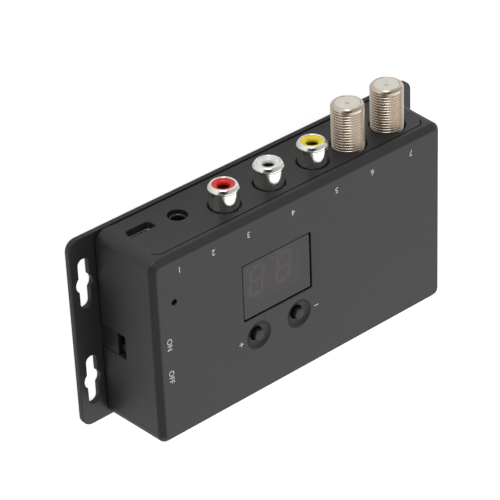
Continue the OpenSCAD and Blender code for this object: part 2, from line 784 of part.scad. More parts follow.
module aerial_out_disc() { disc(aerial_out_x); }
module aerial_in_disc() { disc(aerial_in_x); }

module aerial_pin(x) {
  y1 = aerial_tip + disc_sunk + pin_sunk + seat;
  l = can_y + pin_into - y1;
  color([0.85, 0.7, 0.35]) difference() {
    toward_front(x, can_y + pin_into, aerial_axis, pin_d, l);
    toward_front(x, can_y, aerial_axis, pin_bore_d, l);
  }
}

module aerial_out_contact() { aerial_pin(aerial_out_x); }
module aerial_in_contact() { aerial_pin(aerial_in_x); }

module modulator_can() {
  w = can_x1 - can_x0;
  color([0.75, 0.76, 0.76]) difference() {
    union() {
      difference() {
        translate([can_x0, can_y, board_z]) cube([w, can_d, can_z1 - board_z - can_t]);
        translate([can_x0 + can_t, can_y + can_t, board_z - overrun])
          cube([w - 2 * can_t, can_d - 2 * can_t, can_z1 - board_z + overrun]);
      }
      translate([can_x0 + w * can_divider_share, can_y + can_t - fuse / 2, board_z])
        cube([can_t, can_d - 2 * can_t + fuse, can_z1 - board_z - can_t]);
    }
    for (x = [aerial_in_x, aerial_out_x])
      toward_front(x, can_y + can_t + overrun, aerial_axis, pin_d + 2 * seat, can_t + 2 * overrun);
  }
}

module modulator_lid() {
  color([0.8, 0.8, 0.8]) translate([can_x0, can_y, can_z1 - can_t])
    cube([can_x1 - can_x0, can_d, can_t]);
}

module controller_chip() {
  cx = window_x - window_l;
  cy = window_y + key_y;
  n = floor((chip_l - 2 * chip_leg) / chip_pitch);
  color([0.08, 0.08, 0.09]) translate([cx, cy, board_z + chip_lift])
    translate([-chip_l / 2, -chip_l / 2, 0]) cube([chip_l, chip_l, chip_t]);
  color([0.75, 0.75, 0.75]) for (a = [0, 90, 180, 270], i = [0:n - 1])
    translate([cx, cy, board_z]) rotate([0, 0, a])
      translate([chip_l / 2, (i - (n - 1) / 2) * chip_pitch - chip_foot / 2, 0])
        cube([chip_leg, chip_foot, chip_lift + chip_foot]);
}

module crystal() {
  y = window_y + key_y - chip_l / 2 - chip_leg - crystal_gap - crystal_w;
  color([0.8, 0.8, 0.8]) translate([window_x - window_l + (crystal_w - crystal_l) / 2, y, board_z]) {
    cube([crystal_l - crystal_w, crystal_w, crystal_h]);
    for (x = [0, crystal_l - crystal_w]) translate([x, crystal_w / 2, 0])
      cylinder(d = crystal_w, h = crystal_h, $fn = 48);
  }
}

module capacitors() {
  y = can_y + can_d + can_gap + (cap_d + cap_foot) / 2;
  color([0.15, 0.18, 0.4]) for (place = cap_shares)
    translate([can_x0 + place * cap_d, y, board_z]) {
      cylinder(d = cap_d, h = cap_h, $fn = 48);
      translate([-cap_d / 2 - cap_foot / 2, -cap_d / 2 - cap_foot / 2, 0])
        cube([cap_d + cap_foot, cap_d + cap_foot, cap_foot]);
    }
}

module screw(p, z, r, l, head_r, head_t) {
  translate([p[0], p[1], z]) {
    cylinder(r = head_r, h = head_t, $fn = 48);
    cylinder(r = r, h = head_t + l, $fn = 48);
  }
}

module board_screws() {
  color([0.7, 0.7, 0.7]) for (p = board_xy)
    screw(p, board_z - board_t - board_head_t, board_screw_r, board_t + board_screw_l,
      board_head_r, board_head_t);
}

module base_screws() {
  color([0.7, 0.7, 0.7]) for (p = base_xy)
    screw(p, base_head_sunk, base_screw_r, base_screw_l, base_head_r, base_head_t);
}

base_plate();
top_cover();
window_pane();
display_module();
display_segments();
display_header();
circuit_board();
channel_down_key();
channel_up_key();
channel_down_switch();
channel_up_switch();
light_guide();
signal_led();
slide_switch_body();
slide_switch_knob();
usb_shell();
usb_tongue();
eye_jack();
phono_block();
phono_right_shell();
phono_left_shell();
phono_video_shell();
phono_right_insert();
phono_left_insert();
phono_video_insert();
phono_right_contact();
phono_left_contact();
phono_video_contact();
aerial_out_barrel();
aerial_in_barrel();
aerial_out_disc();
aerial_in_disc();
aerial_out_contact();
aerial_in_contact();
modulator_can();
modulator_lid();
controller_chip();
crystal();
capacitors();
board_screws();
base_screws();
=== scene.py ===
# %% [markdown]
# An aerial-lead modulator: a flat moulded box on an eared mounting plate, with a row of sockets
# on one long side, and on top a smoked display window and two keys in round dishes. The packed
# model is loaded first, as a frame that never moves; every new piece is then placed by the boxes
# of its solids.

# %% Load the frame
import math
import bmesh
import bpy
from mathutils import Matrix, Vector


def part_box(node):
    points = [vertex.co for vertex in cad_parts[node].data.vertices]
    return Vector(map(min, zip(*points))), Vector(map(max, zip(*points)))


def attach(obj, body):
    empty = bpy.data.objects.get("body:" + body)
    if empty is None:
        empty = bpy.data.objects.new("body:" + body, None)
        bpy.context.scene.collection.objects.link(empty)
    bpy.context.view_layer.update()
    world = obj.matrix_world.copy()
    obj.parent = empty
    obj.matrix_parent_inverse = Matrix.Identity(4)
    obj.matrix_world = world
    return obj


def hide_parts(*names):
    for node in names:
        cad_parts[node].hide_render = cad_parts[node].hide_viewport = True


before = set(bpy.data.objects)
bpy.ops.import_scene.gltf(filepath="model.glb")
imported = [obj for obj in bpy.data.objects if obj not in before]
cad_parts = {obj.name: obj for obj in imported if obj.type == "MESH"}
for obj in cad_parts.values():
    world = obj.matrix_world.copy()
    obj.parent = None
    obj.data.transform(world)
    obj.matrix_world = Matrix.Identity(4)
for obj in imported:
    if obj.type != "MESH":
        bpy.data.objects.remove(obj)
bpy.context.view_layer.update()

MM = 0.001

# %% [markdown]
# The camera stands where the photograph was taken: a long lens, nearly seven housing lengths
# away, that looks down on the sockets' side and the switch end and is rolled to the left.

# %% Camera
lens = bpy.data.cameras.new("camera")
lens.lens, lens.sensor_width = 182.2755, 36
lens.clip_start, lens.clip_end = 0.05, 20
camera = bpy.data.objects.new("camera", lens)
camera.rotation_mode = "QUATERNION"
camera.location = (0.372783, -0.368764, 0.442419)
camera.rotation_quaternion = (0.116181, 0.335693, -0.256024, 0.899035)
bpy.context.scene.collection.objects.link(camera)
bpy.context.scene.camera = camera
print("camera", round(camera.location.length / MM), "mm from the middle")

# %% [markdown]
# Nearly every face of a moulded box can be made by one walk: a flat outline goes along its own
# normal, and gets narrower on the way. The inset operator gives sloping steps and the extrude
# operator gives straight ones, so draft, bevels and flared holes all come from short lists.

# %% Helpers that shape
def walk(bm, face, *steps):
    """Takes a face on through steps of (how much narrower, how much further), in mm."""
    for narrower, further in steps:
        if narrower:
            bmesh.ops.inset_region(bm, faces=[face], thickness=narrower * MM, depth=further * MM,
                                   use_boundary=True, use_even_offset=True)
        else:
            way = face.normal * further * MM
            face = bmesh.ops.extrude_discrete_faces(bm, faces=[face])["faces"][0]
            bmesh.ops.translate(bm, vec=way, verts=face.verts)
        bm.normal_update()
    return face


def plate_face(bm, length, width, radius, corner_steps=10):
    """A flat face with round corners about the origin, its normal along +Z."""
    verts = bmesh.ops.create_grid(bm, x_segments=1, y_segments=1, size=0.5)["verts"]
    bmesh.ops.scale(bm, vec=(length * MM, width * MM, 1), verts=verts)
    if radius:
        bmesh.ops.bevel(bm, geom=verts, offset=radius * MM, segments=corner_steps, profile=0.5,
                        affect="VERTICES", material=-1)
    bm.normal_update()
    return bm.faces[:][0]


def disc_face(bm, radius, sides=64):
    """A flat round face about the origin, its normal along +Z."""
    bmesh.ops.create_circle(bm, cap_ends=True, segments=sides, radius=radius * MM)
    bm.normal_update()
    face = bm.faces[:][0]
    if face.normal.z < 0:
        bmesh.ops.reverse_faces(bm, faces=[face])
        bm.normal_update()
    return face


def close_up(bm):
    """Fills what is open, merges doubles and points every face outwards."""
    bmesh.ops.remove_doubles(bm, verts=bm.verts[:], dist=1e-7)
    bmesh.ops.holes_fill(bm, edges=[e for e in bm.edges if e.is_boundary], sides=0)
    bmesh.ops.recalc_face_normals(bm, faces=bm.faces[:])
    return bm


def soften(bm, width, chosen, segments=3):
    """Rounds the edges that the test picks."""
    edges = [e for e in bm.edges if chosen(e)]
    bmesh.ops.bevel(bm, geom=edges, offset=width * MM, segments=segments, profile=0.5,
                    affect="EDGES", material=-1)
    return len(edges)


def level(z):
    """A test for edges that lie flat at a height in mm."""
    return lambda e: all(abs(v.co.z - z * MM) < 1e-6 for v in e.verts)


def bend(degrees):
    """A test for edges where the surface turns by more than this."""
    return lambda e: len(e.link_faces) == 2 and e.calc_face_angle() > math.radians(degrees)


def turned(profile, steps=64, ring=False):
    """A turned piece about Z from (radius, height) points in mm; a ring's outline is closed."""
    bm = bmesh.new()
    verts = [bm.verts.new((r * MM, 0, h * MM)) for r, h in profile]
    pairs = list(zip(verts, verts[1:])) + ([(verts[-1], verts[0])] if ring else [])
    edges = [bm.edges.new(pair) for pair in pairs]
    bmesh.ops.spin(bm, geom=verts + edges, cent=(0, 0, 0), axis=(0, 0, 1), angle=math.tau,
                   steps=steps, use_merge=True)
    return close_up(bm)

# %% [markdown]
# A new piece is stored with its place in its mesh. It says which solids it stands for and which
# body carries it. Edges sharper than an angle stay sharp, and normals are weighted by area so
# that large flat faces stay flat beside their small rounded edges.

# %% Helpers that store and carve
def raw(name, bm, place=None):
    """A plain object from a bmesh, moved to its place first."""
    if place is not None:
        bmesh.ops.transform(bm, matrix=place, verts=bm.verts[:])
    mesh = bpy.data.meshes.new(name)
    bm.to_mesh(mesh)
    bm.free()
    made = bpy.data.objects.new(name, mesh)
    bpy.context.scene.collection.objects.link(made)
    return made


def join(target, others, how):
    """Cuts the others out of the target, or adds them to it, and removes them."""
    for other in others:
        step = target.modifiers.new("carve", "BOOLEAN")
        step.operation, step.object, step.solver = how, other, "EXACT"
    graph = bpy.context.evaluated_depsgraph_get()
    target.data = bpy.data.meshes.new_from_object(target.evaluated_get(graph))
    target.modifiers.clear()
    for other in others:
        bpy.data.objects.remove(other)
    return target


def piece(made, material, body, *nodes, sharp=32):
    """Finishes an object: shading, material, the body that carries it, what it stands for."""
    made.data.materials.clear()
    made.data.materials.append(material)
    made.data.shade_smooth()
    made.data.set_sharp_from_angle(angle=math.radians(sharp))
    even = made.modifiers.new("even normals", "WEIGHTED_NORMAL")
    even.keep_sharp = True
    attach(made, body)
    if nodes:
        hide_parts(*nodes)
    print(made.name, len(made.data.polygons), "faces", "for", ", ".join(nodes) or "detail")
    return made


def block(name, low, high, round_by, segments=2):
    """A soft-edged block between two corners in mm, walked up from its foot."""
    bm = bmesh.new()
    face = plate_face(bm, high.x - low.x, high.y - low.y, 0)
    walk(bm, face, (0, high.z - low.z))
    close_up(bm)
    if round_by:
        soften(bm, round_by, bend(30), segments)
    return raw(name, bm, Matrix.Translation(((low.x + high.x) / 2 * MM, (low.y + high.y) / 2 * MM,
                                             low.z * MM)))


def middle(node):
    """The middle of a solid's box, in mm, and its lowest and highest corners."""
    low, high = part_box(node)
    return (low + high) / 2 / MM, low / MM, high / MM

# %% [markdown]
# Every finish is a small tree of nodes. Even values sit on the shader's own sockets, and only
# what varies over the surface is linked. Patterns read Object coordinates in metres, so a scale
# of 5000 gives grains of about 0.2 mm.

# %% Helpers that make finishes
def add(material, kind, settings=None, **inputs):
    """Adds a node; an input that is a socket is linked, and any other is written."""
    made = material.node_tree.nodes.new("ShaderNode" + kind)
    for name, value in (settings or {}).items():
        setattr(made, name, value)
    for name, value in inputs.items():
        socket = made.inputs[int(name[1:])] if name[0] == "_" else made.inputs[name.replace("_", " ")]
        if isinstance(value, bpy.types.NodeSocket):
            material.node_tree.links.new(value, socket)
        else:
            socket.default_value = value
    return made


def new_finish(name, colour, roughness, metallic=0.0, **even):
    """A material and its shader, with even values written on the sockets."""
    material = bpy.data.materials.new(name)
    material.use_nodes = True
    shader = material.node_tree.nodes["Principled BSDF"]
    shader.inputs["Base Color"].default_value = (*colour, 1)
    shader.inputs["Roughness"].default_value = roughness
    shader.inputs["Metallic"].default_value = metallic
    for socket, value in even.items():
        shader.inputs[socket.replace("_", " ")].default_value = value
    return material, shader


def noise(material, scale, detail=3, stretch=None):
    """Soft noise on Object coordinates, its factor and its coordinates."""
    place = add(material, "TexCoord").outputs["Object"]
    if stretch:
        place = add(material, "Mapping", Vector=place, Scale=stretch).outputs[0]
    return add(material, "TexNoise", Vector=place, Scale=scale, Detail=detail).outputs["Fac"], place


def between(material, factor, low, high, low_at=0.3, high_at=0.7):
    """Spreads a factor between two colours or two numbers."""
    if isinstance(low, tuple):
        ramp = add(material, "ValToRGB", Fac=factor)
        ends = ramp.color_ramp.elements
        ends[0].position, ends[1].position = low_at, high_at
        ends[0].color, ends[1].color = (*low, 1), (*high, 1)
        return ramp.outputs[0]
    spread = add(material, "MapRange", Value=factor)
    for number, value in enumerate((low_at, high_at, low, high)):
        spread.inputs[1 + number].default_value = value
    return spread.outputs[0]


def link(material, source, shader, socket):
    """Links an output to one of the shader's sockets."""
    material.node_tree.links.new(source, shader.inputs[socket])


def rough_up(material, shader, height, depth, strength=1.0):
    """Turns a factor into fine relief, depth in mm."""
    bump = add(material, "Bump", Strength=strength, Distance=depth * MM, Height=height)
    link(material, bump.outputs[0], shader, "Normal")


def grained(material, shader, scale, depth, low=None, high=None, strength=1.0):
    """Adds fine relief to a finish, and lets its colour vary between two tones if they are given."""
    grain, _ = noise(material, scale, 3)
    if low:
        link(material, between(material, grain, low, high), shader, "Base Color")
    rough_up(material, shader, grain, depth, strength)

# %% [markdown]
# The housing is black plastic from a spark-eroded mould: an even, fine, satin grain that breaks
# up the light. Two noises give it, one for the grain in relief and gloss, and one for the slow
# change in tone that every large moulding has. The plate comes from the same plastic, a shade
# darker; the keys have a finer grain, and the small mouldings are glossy.

# %% Moulded plastics
def moulded(name, colour, roughness, grain=4200, depth=0.012, specular=0.35):
    """A plastic with grain of a noise scale and a depth in mm."""
    material, shader = new_finish(name, colour, roughness, Specular_IOR_Level=specular)
    fine, place = noise(material, grain, 4)
    cloud = add(material, "TexNoise", Vector=place, Scale=60, Detail=2).outputs["Fac"]
    shades = [tuple(c * k for c in colour) for k in (0.93, 1.07)]
    link(material, between(material, cloud, *shades), shader, "Base Color")
    link(material, between(material, fine, roughness - 0.06, roughness + 0.06), shader, "Roughness")
    rough_up(material, shader, fine, depth)
    return material


housing_plastic = moulded("spark-eroded black plastic", (0.018, 0.018, 0.0185), 0.46, specular=0.5)
plate_plastic = moulded("plate's black plastic", (0.013, 0.013, 0.0135), 0.40, specular=0.5)
key_plastic = moulded("key plastic", (0.013, 0.013, 0.0135), 0.44, 6000, 0.006, 0.45)
gloss_black = moulded("glossy black plastic", (0.012, 0.012, 0.013), 0.24, 3000, 0.003, 0.5)
print("moulded plastics", 4)

# %% [markdown]
# The outer form is one walk: round outline at the foot, straight drafted wall, 45 degree bevel,
# lid. The shadow line at the foot is a narrower walk down from the same outline. A second,
# smaller form is cut out for the inside, and the screw bosses are turned pieces added to it. Its
# sizes in mm are those of the solid cover: the foot's length and width, how far the walls lean
# in, the bevel's width, the walls' thickness and the height of the ceiling below the lid.

# %% Housing form
CASE_L, CASE_W, CASE_H, FOOT = 103.8, 57.6, 23.7, 1.7
DRAFT, BEVEL, WALL, SHADOW, CEILING = 0.7, 1.6, 2.0, 0.4, 21.7
SHOULDER, LID = CASE_H - BEVEL, CASE_H - 0.02
CORNER, INNER_CORNER = 3.7, 1.7


def lean(z):
    """How far the wall has leaned in at a height."""
    return DRAFT * (z - FOOT) / (SHOULDER - FOOT)


def drafted(z0, z1, narrower, radius):
    """A block that follows the housing's walls from one height to another."""
    bm = bmesh.new()
    side = 2 * (lean(z0) + narrower)
    face = plate_face(bm, CASE_L - side, CASE_W - side, radius, 14)
    bmesh.ops.translate(bm, vec=(0, 0, z0 * MM), verts=bm.verts[:])
    return bm, walk(bm, face, (lean(z1) - lean(z0), z1 - z0))


bm, face = drafted(FOOT + SHADOW, SHOULDER, 0, CORNER)
walk(bm, face, (BEVEL, LID - SHOULDER))
close_up(bm)
foot_face = min(bm.faces, key=lambda f: f.calc_center_median().z)
walk(bm, foot_face, (SHADOW, 0), (0, SHADOW))
soften(bm, 0.28, level(SHOULDER))
soften(bm, 0.28, level(LID))
soften(bm, 0.12, level(FOOT + SHADOW), 2)
housing = raw("housing_shell", bm)

bm, _ = drafted(FOOT - 1, CEILING, WALL, INNER_CORNER)
hollow = raw("hollow", close_up(bm))
join(housing, [hollow], "DIFFERENCE")

PLATE_SCREWS = [(sx * 46.8, y) for sx in (1, -1) for y in (-17.6, 23.4)]
BOARD_SCREWS = [(37.6, 21.7), (-37.6, 21.7), (37.6, -8.2), (-13.6, -8.2)]


def boss(spot, radius, bore, low, depth):
    """A post that hangs from the ceiling down to a height, with a blind bore for a screw."""
    top = CEILING + 0.2
    bm = turned([(0, top), (radius, top), (radius, low), (bore, low), (bore, low + depth),
                 (0, low + depth)], 40)
    return raw("boss", bm, Matrix.Translation((spot[0] * MM, spot[1] * MM, 0)))


bosses = [boss(p, 2.6, 1.35, 3.5, 8.5) for p in PLATE_SCREWS]
bosses += [boss(p, 2.2, 1.05, 7.2, 7.5) for p in BOARD_SCREWS]
join(housing, bosses, "UNION")
print("housing form", len(housing.data.polygons), "faces,", len(bosses), "bosses")

# %% [markdown]
# Each opening is cut with a tool that is a little wider at the mouth, so the rim comes out
# slightly rounded, as a moulded rim does. The tools are walked from outside inwards. Those for
# the socket side and the switch end stand square on walls that lean in by two degrees. PANEL is
# the depth of the shallow panel round the sockets, and LAP is how far a tool's flare overlaps the
# surface that it cuts.

# %% Places on the leaning walls
TILT = math.atan(DRAFT / (SHOULDER - FOOT))
PANEL, LAP = 0.06, 0.05


def on_front(x, z, sunk=0.0):
    """A frame on the socket side: +Z goes into the wall, +X along it."""
    into = Vector((0, math.cos(TILT), -math.sin(TILT)))
    spot = Vector((x, -CASE_W / 2 + lean(z) + sunk, z)) * MM
    return frame_at(spot, Vector((1, 0, 0)), into)


def on_end(y, z):
    """A frame on the switch end: +Z goes into the wall, +X along it."""
    into = Vector((-math.cos(TILT), 0, -math.sin(TILT)))
    return frame_at(Vector((CASE_L / 2 - lean(z), y, z)) * MM, Vector((0, 1, 0)), into)


def on_lid(x, y, z=LID):
    """A frame on the lid: +Z goes down into it."""
    return frame_at(Vector((x, y, z)) * MM, Vector((1, 0, 0)), Vector((0, 0, -1)))


def frame_at(spot, along, into):
    """A frame at a place: +X goes along one direction, and +Z into another."""
    across = into.cross(along)
    rows = [(along[i], across[i], into[i], spot[i]) for i in range(3)]
    return Matrix(rows + [(0, 0, 0, 1)])


def tool(face_maker, sizes, place, depth, flare=0.12):
    """A cutter that starts 1 mm outside, flares at the mouth and goes in to a depth."""
    bm = bmesh.new()
    face = face_maker(bm, *sizes)
    bmesh.ops.translate(bm, vec=(0, 0, -MM), verts=bm.verts[:])
    walk(bm, face, (0, 1 - LAP), (LAP + flare, LAP + flare), (0, depth - flare))
    return raw("tool", close_up(bm), place)


def round_tool(radius, place, depth=3.2, flare=0.12):
    """A round cutter of a radius."""
    return tool(disc_face, (radius + flare + LAP,), place, depth, flare)


def square_tool(length, width, radius, place, depth, flare=0.12):
    """A square cutter with round corners."""
    wider = 2 * (flare + LAP)
    sizes = (length + wider, width + wider, radius + flare + LAP)
    return tool(plate_face, sizes, place, depth, flare)


print("walls lean in by", round(math.degrees(TILT), 2), "degrees")

# %% [markdown]
# The row of openings: power socket, eye-lead socket, three round sockets, two aerial sockets.
# Every one takes its place from the solid behind it. They stand in a shallow panel with round
# corners, whose top edge shows on the real object as a fine dark line that fades out near the
# switch end. A slit at the foot is the shadow gap above the mounting plate.

# %% Cut the socket side
SOCKETS = {name: middle(node)[0] for name, node in {
    "power": "usb_shell", "eye": "eye_jack", "right": "phono_right_shell",
    "left": "phono_left_shell", "video": "phono_video_shell", "out": "aerial_out_barrel",
    "in": "aerial_in_barrel"}.items()}
EYE_RISE = 2.75
power_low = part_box("usb_shell")[0].z / MM
eye_z = power_low + EYE_RISE
PANEL_L, PANEL_W, PANEL_CORNER, PANEL_Z, PANEL_RAMP = 94.6, 26.1, 2.5, 8.05, 2.4
ROUND_HOLE, AERIAL_HOLE, EYE_HOLE, POWER_GAP = 4.5, 5.05, 2.7, 0.3


def panel_slab(narrower, low, high):
    """A slab of the panel's outline between two depths, to cut with."""
    bm = bmesh.new()
    face = plate_face(bm, PANEL_L - 2 * narrower, PANEL_W - 2 * narrower, PANEL_CORNER - narrower)
    bmesh.ops.translate(bm, vec=(0, 0, low * MM), verts=bm.verts[:])
    return bm, walk(bm, face, (0, high - low))


def panel_tool():
    """Cuts the shallow panel; its ends come up in long ramps, so only the top edge is crisp."""
    bm, face = panel_slab(0, -1, 0)
    face = walk(bm, face, (0, PANEL))
    bmesh.ops.scale(bm, vec=(1 - 2 * PANEL_RAMP / PANEL_L, 1, 1), verts=face.verts[:])
    return raw("panel", close_up(bm), on_front(0, PANEL_Z))


def groove_tool(width=0.34, outside=0.07, high=1.6, drop=0.62, sunk=-0.31):
    """A narrow frame just outside the panel's outline, of which only the top edge and corners are
    kept. It is tilted, so the line is deep at the far end and fades out near the switch end."""
    outer = raw("outer", close_up(panel_slab(-outside, -high / 2, high / 2)[0]))
    inner = raw("inner", close_up(panel_slab(width, -2, 2)[0]))
    below = block("below", Vector((-50, -11, -3)), Vector((50, 20, 3)), 0)
    groove = join(outer, [inner, below], "DIFFERENCE")
    tilt = Matrix.Rotation(math.atan(drop / PANEL_L), 4, "Y")
    groove.data.transform(on_front(0, PANEL_Z) @ Matrix.Translation((0, 0, sunk * MM)) @ tilt)
    return groove


def power_face(bm, grow):
    """The power socket's outline, narrower at its lower side; +Y is down on the wall."""
    w, low, high, knee = 3.75 + grow, grow, 2.6 + grow, 0.78
    corners = [(-w, -high), (w, -high), (w, -knee), (w - 0.75, low), (-w + 0.75, low), (-w, -knee)]
    face = bm.faces.new([bm.verts.new((x * MM, y * MM, 0)) for x, y in corners])
    bmesh.ops.bevel(bm, geom=bm.verts[:], offset=0.3 * MM, segments=3, profile=0.5,
                    affect="VERTICES", material=-1)
    bm.normal_update()
    return bm.faces[:][0]


foot_gap = block("foot gap", Vector((-47, -29.5, 1.2)), Vector((47, -27.75, 2.4)), 0)
tools = [panel_tool(), groove_tool(), foot_gap]
for name in ("right", "left", "video"):
    tools.append(round_tool(ROUND_HOLE, on_front(SOCKETS[name].x, SOCKETS[name].z, PANEL)))
for name in ("out", "in"):
    place = on_front(SOCKETS[name].x - 0.2, SOCKETS[name].z - 0.1, PANEL)
    tools.append(round_tool(AERIAL_HOLE, place))
tools.append(round_tool(EYE_HOLE, on_front(SOCKETS["eye"].x, eye_z, PANEL)))
tools.append(tool(power_face, (POWER_GAP + 0.12 + LAP,),
                  on_front(SOCKETS["power"].x, power_low, PANEL), 3.2))
join(housing, tools, "DIFFERENCE")
print("openings on the socket side", len(tools))

# %% [markdown]
# The end has one notch, open at the foot, for the slide switch. On the real object the plate's
# tab closes its lower part, so only the upper part shows as an opening. One square tool that
# reaches below the foot cuts it.

# %% Cut the switch end
NOTCH_W, NOTCH_HALF, NOTCH_Y, NOTCH_Z = 7.1, 8.2, 2.55, 3.0
notch = square_tool(NOTCH_W, 2 * NOTCH_HALF, 0.3, on_end(NOTCH_Y, NOTCH_Z), 3.2, 0.1)
join(housing, [notch], "DIFFERENCE")
print("notch", NOTCH_W, "mm wide, up to", NOTCH_Z + NOTCH_HALF)

# %% [markdown]
# On the lid, the window is a plain cut. A key's dish is a turned tool: a bowl that is steep at
# its rim and flatter inside, then the round hole that the key stands in. Its profile goes on past
# the lid's face, so the rim comes out as one clean circle. The lamp's hole is a small drill.

# %% Cut the lid
WINDOW = middle("window_pane")[0].xy
KEYS = {name: middle(name)[0] for name in ("channel_down_key", "channel_up_key")}
LAMP = middle("light_guide")[0]
WINDOW_L, WINDOW_W, WINDOW_CORNER, LAMP_HOLE = 24.1, 17.35, 0.4, 0.85
tools = [square_tool(WINDOW_L, WINDOW_W, WINDOW_CORNER, on_lid(*WINDOW), 4, 0.1)]
dish = [(0, 4), (2.0, 4), (2.0, 1.3), (2.06, 1.2), (2.2, 1.16), (3.0, 0.86), (3.6, 0.54),
        (4.0, 0.18), (4.3, -0.09), (4.3, -1), (0, -1)]
for key in KEYS.values():
    tools.append(raw("dish", turned(dish, 72), on_lid(key.x, key.y)))
tools.append(round_tool(LAMP_HOLE, on_lid(LAMP.x, LAMP.y), 4, 0.1))
join(housing, tools, "DIFFERENCE")
piece(housing, housing_plastic, "housing", "top_cover", sharp=28)

# %% [markdown]
# The mounting plate is a moulded slab with round corners and soft edges. A rib inside the
# housing's wall keeps it in place, posts meet the housing's screw bosses, and a tab closes the
# lower part of the switch's notch. All are walked or turned, and their feet are sunk into the
# slab a little before they are joined to it.

# %% Mounting plate
plate_low, plate_high = (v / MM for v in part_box("base_plate"))
PLATE, PLATE_CORNER, FOOT_SUNK = 1.7, 3.2, 0.4
RIB_L, RIB_W, RIB_CORNER, RIB_H, RIB_THICK = 99.4, 53.2, 1.7, 2.2, 1.2
POST_R, POST_TOP = 2.85, 3.5
TAB_X, TAB_Y, TAB_W, TAB_TOP = 48.8, -0.88, 6.86, 8.1

bm = bmesh.new()
face = plate_face(bm, plate_high.x - plate_low.x, CASE_W, PLATE_CORNER)
walk(bm, face, (0, PLATE))
close_up(bm)
soften(bm, 0.3, level(PLATE))
soften(bm, 0.3, level(0))
plate = raw("mounting_plate", bm, Matrix.Translation(((plate_low.x + plate_high.x) / 2 * MM, 0, 0)))

bm = bmesh.new()
face = plate_face(bm, RIB_L, RIB_W, RIB_CORNER)
bmesh.ops.translate(bm, vec=(0, 0, (PLATE - FOOT_SUNK) * MM), verts=bm.verts[:])
walk(bm, face, (0, RIB_H), (RIB_THICK, 0), (0, 0.2 - RIB_H))
extras = [raw("rib", close_up(bm))]
for x, y in PLATE_SCREWS:
    post = [(0, PLATE - FOOT_SUNK), (POST_R, PLATE - FOOT_SUNK), (POST_R, POST_TOP), (0, POST_TOP)]
    extras.append(raw("post", turned(post, 48), Matrix.Translation((x * MM, y * MM, 0))))

bm = bmesh.new()
tab = [(TAB_X, PLATE - FOOT_SUNK), (51.78, PLATE - FOOT_SUNK), (51.56, TAB_TOP), (TAB_X, TAB_TOP)]
face = bm.faces.new([bm.verts.new((x * MM, TAB_Y * MM, z * MM)) for x, z in tab])
bm.normal_update()
walk(bm, face, (0, -TAB_W))
close_up(bm)
soften(bm, 0.12, bend(60), 2)
extras.append(raw("tab", bm))
join(plate, extras, "UNION")
print("plate", [round(v, 2) for v in plate_low], [round(v, 2) for v in plate_high])

# %% [markdown]
# Each ear has two slots with a round eye in the middle, so that the plate can be hung on screws
# already in the wall. Straight cutters make them, and turned ones the wells for the housing's
# four screws. The slots' rims are then rounded a little, as moulded rims are.

# %% Slots and screw holes
SLOT_L, SLOT_W, SLOT_CORNER, SLOT_EYE, SLOT_IN, SLOT_Y = 15, 3.4, 1.69, 2.65, 4.3, 15


def through(face_maker, sizes, x, y):
    """A plain cutter that goes right through the plate."""
    bm = bmesh.new()
    face = face_maker(bm, *sizes)
    walk(bm, face, (0, PLATE + 2))
    return raw("through", close_up(bm), Matrix.Translation((x * MM, y * MM, -MM)))


tools = []
for x in (plate_high.x - SLOT_IN, plate_low.x + SLOT_IN):
    for y in (-SLOT_Y, SLOT_Y):
        tools.append(through(plate_face, (SLOT_W, SLOT_L, SLOT_CORNER), x, y))
        tools.append(through(disc_face, (SLOT_EYE,), x, y))
for x, y in PLATE_SCREWS:
    well = [(0, -1), (2.5, -1), (2.5, 0), (2.4, 0.1), (2.4, 1.8), (1.35, 1.8), (1.35, 5), (0, 5)]
    tools.append(raw("well", turned(well, 48), Matrix.Translation((x * MM, y * MM, 0))))
join(plate, tools, "DIFFERENCE")
bm = bmesh.new()
bm.from_mesh(plate.data)


def on_ear(edge):
    """A test for edges outside the housing's foot."""
    return abs(edge.verts[0].co.x) > 52 * MM


for z in (PLATE, 0):
    count = soften(bm, 0.16, lambda e: level(z)(e) and bend(60)(e) and on_ear(e))
    print("slot rim edges", count, "at", z)
bm.to_mesh(plate.data)
bm.free()
piece(plate, plate_plastic, "housing", "base_plate", sharp=28)

# %% [markdown]
# The window pane is smoked acrylic, glued below the lid by its flange, and the display's two
# unlit digits show faintly through it. Its front lets a fifth of what is behind it through and
# its back is fully clear, so the tint counts once and the digits sit at their true depth from
# every side. Faint streaks in tone and gloss run across it.

# %% Window pane
smoked, shader = new_finish("smoked acrylic", (0.037, 0.036, 0.036), 0.3, Alpha=0.8,
                            Specular_IOR_Level=0.5)
streak, _ = noise(smoked, 500, 3, (1, 0.06, 1))
smoke = between(smoked, streak, (0.034, 0.033, 0.033), (0.040, 0.039, 0.039))
link(smoked, smoke, shader, "Base Color")
link(smoked, between(smoked, streak, 0.28, 0.34), shader, "Roughness")
rough_up(smoked, shader, streak, 0.0008, 0.4)
clear, shader = new_finish("clear back of the pane", (0.2, 0.2, 0.2), 0.3, Alpha=0.0)
streak, _ = noise(clear, 500, 3)
link(clear, between(clear, streak, 0.28, 0.34), shader, "Roughness")

FLANGE_L, FLANGE_W, FLANGE_CORNER, FLANGE, PANE_STEP, PANE_RISE = 26.3, 19.55, 1.9, 0.8, 1.45, 1.7
bm = bmesh.new()
face = plate_face(bm, FLANGE_L, FLANGE_W, FLANGE_CORNER, 6)
foot = Vector((WINDOW[0] + 0.1, WINDOW[1] - 0.1, CEILING - FLANGE)) * MM
bmesh.ops.translate(bm, vec=foot, verts=bm.verts[:])
walk(bm, face, (0, FLANGE), (PANE_STEP, 0), (0, PANE_RISE), (0.14, 0.14))
pane = piece(raw("smoked_pane", close_up(bm)), smoked, "housing", "window_pane", sharp=25)
pane.data.materials.append(clear)
for side in pane.data.polygons:
    side.material_index = int(side.normal.z < -0.5)

